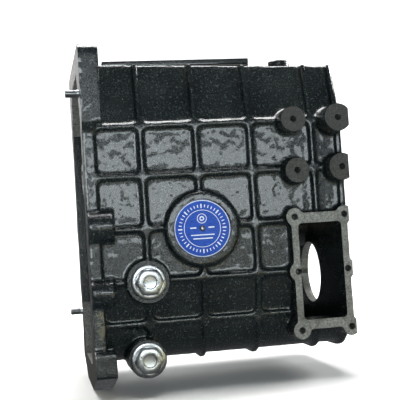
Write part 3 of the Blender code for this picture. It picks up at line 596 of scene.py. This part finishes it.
def case_bosses():
    """Bosses inside the case that carry the bearings, the idler's pin and the rails."""
    return [rod("X", (30.0, *MAIN), 10.0, 53.0), rod("X", (30.0, *COUNTER), 10.0, 34.0),
            rod("X", (313.0, *MAIN), 15.0, 53.0), rod("X", (313.0, *COUNTER), 15.0, 33.0),
            rod("X", (276.0, *IDLER), 50.0, 15.0),
            box("rails_front", (30.0, 50.0), (-56.0, 16.0), (358.0, 382.0)),
            box("rails_rear", (309.0, 328.0), (-56.0, 16.0), (358.0, 382.0))]


def case_bores():
    """Cutters for the bearing bores, the ports and the holes."""
    cuts = [rod("X", (19.0, *MAIN), 22.0, BEARING_R), rod("X", (312.0, *MAIN), 23.0, BEARING_R),
            rod("X", (24.0, *COUNTER), 17.0, SMALL_BEARING_R),
            rod("X", (312.0, *COUNTER), 23.0, SMALL_BEARING_R),
            rod("X", (318.0, *PORT), 18.0, PORT_R), rod("X", (275.0, *IDLER), 60.0, IDLER_PIN_R),
            rod("-Y", (SELECTOR_AT[0], 118.0, SELECTOR_AT[1]), 195.0, 8.3),
            box("cover_opening", (58.0, 207.0), (-52.0, 52.0), (380.0, PAD_Z + 1.0)),
            rod("-Y", (PLATE_AT[0], -124.5, PLATE_AT[1]), 6.0, 37.3),
            rod("-Y", (PLATE_AT[0], -116.0, PLATE_AT[1]), 10.0, 2.1)]
    window = rounded_rectangle((PTO_WINDOW[0], PTO_WINDOW[2]), (PTO_WINDOW[1], PTO_WINDOW[3]), 5.0)
    cuts.append(extruded("pto_window", "Y", PTO_FACE_Y - 1.0, window, 55.0))
    cuts += [rod("X", (28.0, y, RAIL_Z), 312.0, 7.3, 32) for y in RAIL_Y]
    cuts += [rod("-Y", (x, 22.0 - face, z), 24.0, TAPPED_R, 32) for x, z, radius, face in BOSSES]
    cuts += [rod("-Y", (x, -58.0, z), 76.0, 13.3, 32) for x, z, radius in PLUGS.values()]
    cuts += [rod("-Y", (x, 14.0 + PTO_FACE_Y, z), 16.0, TAPPED_R, 32) for x, z in PTO_HOLES]
    cuts += [rod("Z", (x, y, PAD_Z - 12.0), 13.0, SCREW_R, 24) for x, y in COVER_SCREWS]
    cuts += [rod("X", (-1.0, y, z), 13.0, 5.3, 24) for y, z in STUDS.values()]
    cuts += [rod("X", (-1.0, side * LUG_Y, z), length + 4.0, 5.6, 32)
             for side in (-1, 1) for z, _, length in LUGS]
    for angle in RETAINER_BOLTS:
        y, z = polar(RETAINER_BOLT_R, angle, MAIN)
        cuts += [rod("X", (19.0, y, z), 15.5, SCREW_R, 20), rod("X", (322.0, y, z), 12.0, SCREW_R, 20)]
    return cuts


def in_millimetres(place):
    """The reverse of spot()."""
    return (place.x - FRONT_X) / MM, place.y / MM, place.z / MM


def on_boss_face(centre, normal):
    """True for the front face and the ends of the bracket bosses, which the paint only dusted."""
    x, y, z = in_millimetres(centre)
    if normal.x < -0.99 and abs(x) < CLOSE:
        return True
    return abs(normal.y) > 0.99 and any(
        abs(y + face) < CLOSE and math.hypot(x - bx, z - bz) < radius + 4.0
        for bx, bz, radius, face in BOSSES)


def on_milled_face(centre, normal):
    """True for a face of the casting that the milling or boring left bare."""
    x, y, z = in_millimetres(centre)
    if abs(normal.y) > 0.99:
        return abs(y - PTO_FACE_Y) < CLOSE or (abs(y - 116.0) < CLOSE and z > SELECTOR_AT[1] - 21.0)
    if abs(normal.x) > 0.99 and min(abs(x), abs(x - CASE_LENGTH), abs(x - MOUTH_DEPTH)) < CLOSE:
        return True
    if normal.z > 0.99 and abs(z - PAD_Z) < CLOSE:
        return True
    bored = [(MAIN, BEARING_R), (COUNTER, SMALL_BEARING_R), (PORT, PORT_R), (IDLER, IDLER_PIN_R)]
    if abs(normal.x) < 0.05:
        if any(abs(math.hypot(y - at[0], z - at[1]) - radius) < 0.3 for at, radius in bored):
            return True
        if x < MOUTH_DEPTH + 1.0 and abs(y) < 97.5 and 32.5 < z < 408.5:      # walls of the mouth
            return math.hypot(y, z - 220.0) > 60.0
    holes = [(hx, hz) for hx, hz in PTO_HOLES] + [(bx, bz) for bx, bz, _, _ in BOSSES]
    if y < -100.0 and abs(normal.y) < 0.05:
        return any(math.hypot(x - hx, z - hz) < TAPPED_R + 0.3 for hx, hz in holes)
    return False


def main_case():
    """The case: cast first, then hollowed, milled and bored, with its bare faces in their own materials."""
    case = rough_casting()
    combine(case, "DIFFERENCE", case_hollows())
    combine(case, "UNION", case_bosses())
    combine(case, "DIFFERENCE", case_bores())
    thin = case.modifiers.new("thin", "DECIMATE")
    thin.ratio = 0.42
    settle(case)
    smooth(case, 38.0)
    stand_in(case, "main_case")
    case.data.materials.append(MATERIALS["machined_iron"])
    case.data.materials.append(MATERIALS["sawn_iron"])
    for face in case.data.polygons:
        if on_boss_face(face.center, face.normal):
            face.material_index = 2
        elif on_milled_face(face.center, face.normal):
            face.material_index = 1


main_case()


# ------------------------------------------------------------------ covers and trim

def joined(name, pieces):
    """Gather meshes into one object without cutting them."""
    bm = bmesh.new()
    for piece in pieces:
        bm.from_mesh(piece.data)
        bpy.data.objects.remove(piece, do_unlink=True)
    return from_bmesh(name, bm)


def hex_head(axis, at, across_flats, height):
    """A hexagon head with its corners chamfered off, as turned on a lathe."""
    corner = across_flats / math.sqrt(3.0)
    block = turned("head", axis, at, [(0.0, 0.0), (0.0, corner), (height, corner), (height, 0.0)], 6)
    cone = turned("cone", axis, at, [(-1.0, 0.0), (-1.0, corner + 2.0), (height - 1.6, corner + 0.4),
                                     (height, across_flats * 0.46), (height, 0.0)])
    change = block.modifiers.new("chamfer", "BOOLEAN")
    change.operation = "INTERSECT"
    change.object = cone
    change.solver = "MANIFOLD"
    settle(block)
    bpy.data.objects.remove(cone, do_unlink=True)
    return block


def threaded(start, end, radius, pitch=1.25, depth=0.55):
    """A profile of thread crests and roots, listed along the axis."""
    points = []
    count = int((end - start) / pitch)
    for k in range(count):
        at = start + k * pitch
        points += [(at, radius - depth), (at + pitch * 0.4, radius), (at + pitch * 0.6, radius)]
    return points + [(start + count * pitch, radius - depth)]


def plugs():
    """The hex-headed fill and drain plugs."""
    for name, (x, z, _) in PLUGS.items():
        flange = turned("flange", "-Y", (x, 0.0, z), [
            (109.0, 0.0), (109.0, 12.0), (111.0, 13.0), (131.3, 13.0), (131.3, 21.5), (134.9, 21.5),
            (136.0, 21.0), (136.5, 20.0), (136.5, 16.8), (135.9, 16.2), (135.9, 0.0)], 96)
        head = hex_head("-Y", (x, -135.5, z), 30.0, 13.5)
        dimple = turned("dimple", "-Y", (x, 0.0, z), [(147.2, 0.0), (147.2, 7.5), (150.0, 9.0), (150.0, 0.0)])
        combine(head, "DIFFERENCE", [dimple])
        combine(flange, "UNION", [head])
        flange.name = name + "_body"
        stand_in(bevel(flange, 0.5, 3, 28.0), name)


def nameplate():
    """The round plate, with a plain pattern of ticks, rings and bars in place of print, and its rivet."""
    x, z = PLATE_AT
    disc = turned("nameplate_disc", "-Y", (x, 0.0, z), [
        (124.8, 2.4), (124.8, 35.4), (125.2, 36.0), (125.8, 36.0), (126.0, 35.6), (125.95, 34.0),
        (125.6, 33.2), (125.6, 2.4)], 128)
    stand_in(smooth(disc, 50.0), "nameplate")
    raised = 125.7
    rim = [(125.0, 34.6), (126.05, 34.6), (126.05, 35.5), (125.0, 35.5)]
    circle = [(125.0, 22.8), (raised, 22.8), (raised, 23.5), (125.0, 23.5)]
    marks = [turned("rim", "-Y", (x, 0.0, z), rim, 128), turned("circle", "-Y", (x, 0.0, z), circle, 96)]
    count = 40
    for k in range(count):
        turn = 2 * math.pi * k / count
        long, wide = (5.4, 1.7) if k % 5 == 0 else (3.6, 1.1)
        bar = box("tick", (-wide / 2, wide / 2), (-raised, -125.0), (28.3 - long / 2, 28.3 + long / 2))
        bar.data.transform(Matrix.Translation(spot(x, 0.0, z)) @ Matrix.Rotation(turn, 4, "Y")
                           @ Matrix.Translation(-spot(0.0, 0.0, 0.0)))
        marks.append(bar)
    marks += [box("line", (x - half, x + half), (-raised, -125.0), (z + high - 0.65, z + high + 0.65))
              for high, half in ((-8.0, 15.0), (-12.5, 12.5))]
    marks += [box("pair", (middle - 3.8, middle + 3.8), (-raised, -125.0), (z + 0.3, z + 1.9))
              for middle in (x - 11.5, x + 11.5)]
    for inner, outer in ((5.4, 6.2), (1.6, 3.0)):
        ring = [(125.0, inner), (raised, inner), (raised, outer), (125.0, outer)]
        marks.append(turned("badge", "-Y", (x, 0.0, z + 12.5), ring))
    pattern = smooth(joined("nameplate_marks", marks), 30.0)
    add_on(pattern, "nameplate", printed_white("nameplate_white"))
    rivet = turned("nameplate_rivet_head", "-Y", (x, 0.0, z), [
        (118.0, 0.0), (118.0, 1.8), (126.3, 1.8), (126.1, 3.7), (126.6, 3.6), (127.4, 2.7), (127.8, 1.4),
        (127.9, 0.0)])
    stand_in(smooth(rivet, 50.0), "nameplate_rivet")


def studs():
    """The two threaded studs in the front flange."""
    tip = [(-17.5, 0.0), (-17.5, 3.7)]
    root = [(-2.0, 4.9), (11.0, 4.9), (11.0, 0.0)]
    for name, (y, z) in STUDS.items():
        profile = tip + threaded(-16.6, -3.4, 5.0) + root
        stud = turned(name + "_threaded", "X", (0.0, y, z), profile, 48)
        stand_in(smooth(stud, 25.0), name)


def hex_bolt(node, x, at, toward_rear):
    """A retainer's bolt, whose washer sits on a face at x, with the head to the rear or to the front."""
    y, z = at
    if toward_rear:
        head = hex_head("X", (x + 1.0, y, z), 10.0, 4.0)
        low, high = x, x + 1.0
        start, end = x - 16.0, x + 2.0
    else:
        head = hex_head("X", (x - 4.5, y, z), 10.0, 3.5)
        turn_about(head, spot(x - 2.75, y, z), math.pi, "Z")
        low, high = x - 1.0, x
        start, end = x - 2.0, x + 16.0
    washer = turned("washer", "X", (0.0, y, z), [(low, 3.0), (low, 5.9), (high, 5.9), (high, 3.0)], 40)
    shank = turned("shank", "X", (0.0, y, z), [(start, 0.0), (start, 3.0), (end, 3.0), (end, 0.0)], 24)
    bolt = joined(node + "_hex", [head, washer, shank])
    stand_in(smooth(bolt, 28.0), node)


def retainers():
    """The bearing retainers with their bolts, the output seal and the countershaft's cap."""
    front = turned("front_retainer", "X", (0.0, *MAIN), [
        (19.7, 22.0), (19.7, 57.5), (19.2, 58.0), (14.2, 58.0), (13.5, 57.3), (13.3, 40.0),
        (11.9, 35.0), (9.0, 32.6), (6.0, 29.4), (5.0, 28.4), (5.0, 23.2), (6.0, 22.0)], 128)
    rear = turned("rear_retainer", "X", (0.0, *MAIN), [
        (342.0, 31.2), (342.0, 39.0), (341.2, 40.2), (340.4, 44.0), (340.0, 57.2), (339.2, 58.0),
        (334.2, 58.0), (333.8, 57.5), (333.8, 24.0), (336.0, 24.0), (336.0, 30.3), (341.2, 30.3)], 128)
    cuts = {"front": [], "rear": []}
    for k, angle in enumerate(RETAINER_BOLTS):
        at = polar(RETAINER_BOLT_R, angle, MAIN)
        cuts["front"] += [rod("X", (4.0, *at), 17.0, SCREW_R, 24), rod("X", (0.0, *at), 14.2, 6.6, 48)]
        cuts["rear"] += [rod("X", (333.0, *at), 10.0, SCREW_R, 24), rod("X", (339.3, *at), 6.0, 6.6, 48)]
        hex_bolt(f"front_retainer_bolt_{k + 1}", 13.9, at, False)
        hex_bolt(f"rear_retainer_bolt_{k + 1}", 339.6, at, True)
    stand_in(smooth(combine(front, "DIFFERENCE", cuts["front"]), 30.0), "front_bearing_retainer")
    stand_in(smooth(combine(rear, "DIFFERENCE", cuts["rear"]), 30.0), "rear_bearing_retainer")
    seal = turned("output_seal_lips", "X", (0.0, *MAIN), [
        (336.4, 29.9), (341.4, 29.9), (341.6, 29.5), (341.6, 27.6), (339.4, 26.6), (338.6, 24.6),
        (340.8, 23.0), (340.6, 22.4), (337.0, 22.4), (336.4, 23.4)], 96)
    stand_in(smooth(seal, 40.0), "output_seal")
    cap = turned("core_cap", "X", (0.0, *COUNTER), [
        (331.0, 0.0), (331.0, 21.6), (329.0, 24.2), (329.0, 27.5), (332.6, 27.7), (333.1, 27.2),
        (332.9, 25.0), (332.2, 22.4), (331.9, 20.0), (331.9, 0.0)], 96)
    stand_in(smooth(cap, 40.0), "countershaft_rear_cap")


def output_end():
    """The flange that a propeller shaft bolts to, recessed for the nut that holds it."""
    flange = turned("companion_flange", "X", (0.0, *MAIN), [
        (349.0, 13.1), (349.0, 22.0), (350.0, 23.0), (357.2, 23.0), (358.0, 23.8), (358.0, 39.2),
        (357.2, 40.0), (351.8, 40.0), (351.0, 39.4), (344.4, 27.8), (343.6, 25.6), (343.6, 22.0),
        (335.5, 22.0), (335.5, 13.1)], 128)
    hole_circle_r = 32.0
    places = [polar(hole_circle_r, math.radians(45 + 90 * k), MAIN) for k in range(4)]
    holes = [rod("X", (342.5, *at), 17.0, 4.2, 40) for at in places]
    stand_in(smooth(combine(flange, "DIFFERENCE", holes), 30.0), "output_flange", MATERIALS["turned_steel"])
    nut = hex_head("X", (349.3, *MAIN), 30.0, 8.0)
    combine(nut, "DIFFERENCE", [rod("X", (345.0, *MAIN), 20.0, 12.2)])
    nut.name = "flange_nut"
    stand_in(smooth(nut, 28.0), "output_nut")


def top_cover():
    """The plate over the rails, with its four screws and the breather."""
    low, high = 416.2, 424.2
    side = [(34.0, low), (231.0, low), (231.0, high), (34.0, high)]
    cover = extruded("cover_plate", "Y", -70.0, side, 140.0)
    step = box("step", (70.0, 160.0), (-22.0, 22.0), (high - 1.0, high + 3.0))
    combine(cover, "UNION", [step])
    cuts = []
    sink = [(high - 4.0, 0.0), (high - 4.0, SCREW_R), (high + 0.2, 7.9), (high + 0.2, 0.0)]
    for x, y in COVER_SCREWS:
        cuts.append(rod("Z", (x, y, low - 1.0), 12.0, SCREW_R, 32))
        cuts.append(turned("sink", "Z", (x, y, 0.0), sink, 48))
    cuts.append(rod("Z", (*BREATHER_AT, low - 1.0), 12.0, 5.3, 32))
    combine(bevel(cover, 1.6, 4), "DIFFERENCE", cuts)
    stand_in(smooth(cover, 40.0), "top_cover")
    for k, (x, y) in enumerate(COVER_SCREWS):
        screw = turned(f"cover_screw_{k + 1}_head", "Z", (x, y, 0.0), [
            (high - 17.0, 0.0), (high - 17.0, 3.0), (high - 4.0, 3.0), (high - 0.6, 6.5), (high - 0.2, 6.7),
            (high - 0.2, 0.0)], 48)
        slot = box("slot", (x - 8.0, x + 8.0), (y - 0.8, y + 0.8), (high - 1.8, high + 1.0))
        turn_about(slot, spot(x, y, 0.0), 0.7 + k, "Z")
        stand_in(smooth(combine(screw, "DIFFERENCE", [slot]), 30.0), f"cover_screw_{k + 1}")
    breather = turned("breather_cap", "Z", (*BREATHER_AT, high), [
        (-6.0, 0.0), (-6.0, 4.9), (0.3, 4.9), (0.3, 5.5), (8.0, 5.5), (8.0, 7.6), (8.5, 8.0), (10.8, 8.0),
        (11.6, 7.2), (12.7, 5.0), (13.0, 3.0), (13.0, 0.0)])
    stand_in(smooth(breather, 35.0), "breather")


def selector_end():
    """The shift lever and the end of the selector shaft, on the far side."""
    x, z = SELECTOR_AT
    reach, tip_r, root_r = 38.0, 8.0, 13.0
    steps = 24
    outline = [polar(root_r, math.pi * (1 + k / steps), (x, z)) for k in range(steps + 1)]
    outline += [polar(tip_r, math.pi * k / steps, (x, z + reach)) for k in range(steps + 1)]
    lever = extruded("shift_lever", "Y", 140.0, outline, 9.0)
    eye = rod("-Y", (x, 155.0, z + reach), 20.0, 4.2)
    hub = rod("-Y", (x, 155.0, z), 20.0, 6.3)
    combine(lever, "DIFFERENCE", [eye, hub])
    stand_in(bevel(lever, 0.9, 3), "selector_lever")
    shaft = turned("cross_shaft", "-Y", (x, 0.0, z), [
        (-157.0, 0.0), (-157.0, 5.2), (-156.2, 6.0), (-138.0, 6.0), (-138.0, 7.6), (-137.6, 8.0),
        (49.0, 8.0), (50.0, 7.0), (50.0, 0.0)])
    stand_in(smooth(shaft, 30.0), "selector_shaft")


plugs()
nameplate()
studs()
retainers()
output_end()
top_cover()
selector_end()


# ------------------------------------------------------------------ studio

def studio_material(name, colour, rough, blotch):
    """Painted studio board with faint blotches and grain; it glows as painted light that is nil near the
    object and grows with distance from it, so the far floor shows white.
    """
    s = Shader(name)
    tone = s.ramp(s.noise(1.5, 2.0), (0.3, tuple(c * (1.0 - blotch) for c in colour)), (0.7, colour))
    # painted light: the board's own glow, nil within 0.45 m of the middle and full beyond 1.7 m
    glow_distance = s.put("ShaderNodeVectorMath", operation="LENGTH")
    s.join(s.place, glow_distance.inputs["Vector"])
    s.join(tone, s.shader.inputs["Emission Color"])
    s.join(s.span(glow_distance.outputs["Value"], 0.45, 1.7, 0.0, 1.15), s.shader.inputs["Emission Strength"])
    return s.finish(tone, s.span(s.noise(60.0), 0.3, 0.7, rough, rough + 0.1),
                    s.bump(s.noise(400.0), 0.05, 0.2))


def lit_board(name):
    """A backdrop lit so evenly that it shows as white, with a faint cloudiness."""
    s = Shader(name)
    s.join(s.ramp(s.noise(0.35, 2.0), (0.3, (0.97, 0.97, 0.97)), (0.7, (1.0, 1.0, 1.0))),
           s.shader.inputs["Emission Color"])
    return s.finish(s.ramp(s.noise(0.5, 2.0), (0.3, (0.85, 0.85, 0.85)), (0.7, (0.9, 0.9, 0.9))),
                    s.span(s.noise(60.0), 0.3, 0.7, 0.7, 0.8), emission_strength=0.85)


def board(name, radius, height, material):
    """A round floor, or a round wall of a given height that stands at its edge."""
    below, sides = -0.0006, 96
    bm = bmesh.new()
    ring = [bm.verts.new((*polar(radius, 2 * math.pi * k / sides, (0.0, 0.0)), below)) for k in range(sides)]
    if height:
        high = [bm.verts.new((v.co.x, v.co.y, height)) for v in ring]
        for k in range(sides):
            bm.faces.new((ring[k], ring[k - 1], high[k - 1], high[k]))
    else:
        bm.faces.new(ring)
    made = smooth(from_bmesh(name, bm), 60.0)
    made.data.materials.append(material)
    return made


def softbox(name, at, size, power, colour=(1.0, 1.0, 1.0), aim=(0.0, 0.0, 0.22)):
    """A rectangular light at a place, aimed at a point of the object."""
    light = bpy.data.lights.new(name, "AREA")
    light.shape = "RECTANGLE"
    light.size, light.size_y = size
    light.energy = power
    light.color = colour
    made = keep(bpy.data.objects.new(name, light))
    made.location = at
    made.rotation_mode = "QUATERNION"
    made.rotation_quaternion = (Vector(aim) - Vector(at)).to_track_quat("-Z", "Y")
    made.visible_camera = False
    return made


def studio():
    """A pale floor and backdrop, with soft lights in front, above and behind."""
    daylight = (0.88, 0.97, 1.0)
    floor = studio_material("pale_board", (0.86, 0.86, 0.85), 0.6, 0.03)
    board("studio_floor", 5.0, 0.0, floor).visible_glossy = False
    backdrop = board("studio_backdrop", 5.0, 6.0, lit_board("white_backdrop"))
    backdrop.visible_glossy = False
    backdrop.visible_diffuse = False
    backdrop.visible_shadow = False
    softbox("front_panel", (0.45, -2.6, 0.42), (0.9, 0.36), 13.0, daylight, (0.1, -0.1, 0.28))
    softbox("left_strip", (-0.35, -2.4, 0.50), (0.35, 0.7), 15.0, daylight, (-0.1, -0.1, 0.3))
    softbox("overhead", (0.1, 0.3, 2.2), (1.6, 1.2), 95.0)
    softbox("left_rim", (-2.2, 0.4, 0.9), (0.8, 1.2), 9.0, colour=(1.0, 0.90, 0.60))
    softbox("right_side", (2.4, 0.9, 1.3), (0.9, 0.9), 60.0)
    softbox("far_side", (-0.4, 2.4, 1.0), (1.4, 0.9), 26.0)
    softbox("low_warm", (0.3, -0.7, 0.01), (0.9, 0.04), 0.6, (0.95, 0.88, 0.45), (0.0, 0.0, 0.03))
    world = bpy.data.worlds.new("studio")
    world.use_nodes = True
    ambient = world.node_tree.nodes["Background"]
    ambient.inputs["Color"].default_value = (0.93, 0.96, 1.0, 1.0)
    ambient.inputs["Strength"].default_value = 0.16
    scene.world = world
    scene.view_settings.view_transform = "Standard"


def camera():
    """The camera stands near the front corner, low, tilted a little up and rolled."""
    yaw, pitch, roll = math.radians(11.02), math.radians(2.46), math.radians(3.70)
    ahead = Vector((math.sin(yaw) * math.cos(pitch), math.cos(yaw) * math.cos(pitch), math.sin(pitch)))
    level = Vector((math.cos(yaw), -math.sin(yaw), 0.0))
    above = level.cross(ahead)
    right = math.cos(roll) * level - math.sin(roll) * above
    up = math.sin(roll) * level + math.cos(roll) * above
    data = bpy.data.cameras.new("camera")
    data.lens = 77.04
    data.sensor_width = 36.0
    made = keep(bpy.data.objects.new("camera", data))
    made.matrix_world = Matrix.Translation(spot(-63.0, -1177.4, 188.0)) @ Matrix(
        (right, up, -ahead)).transposed().to_4x4()
    scene.camera = made


studio()
camera()
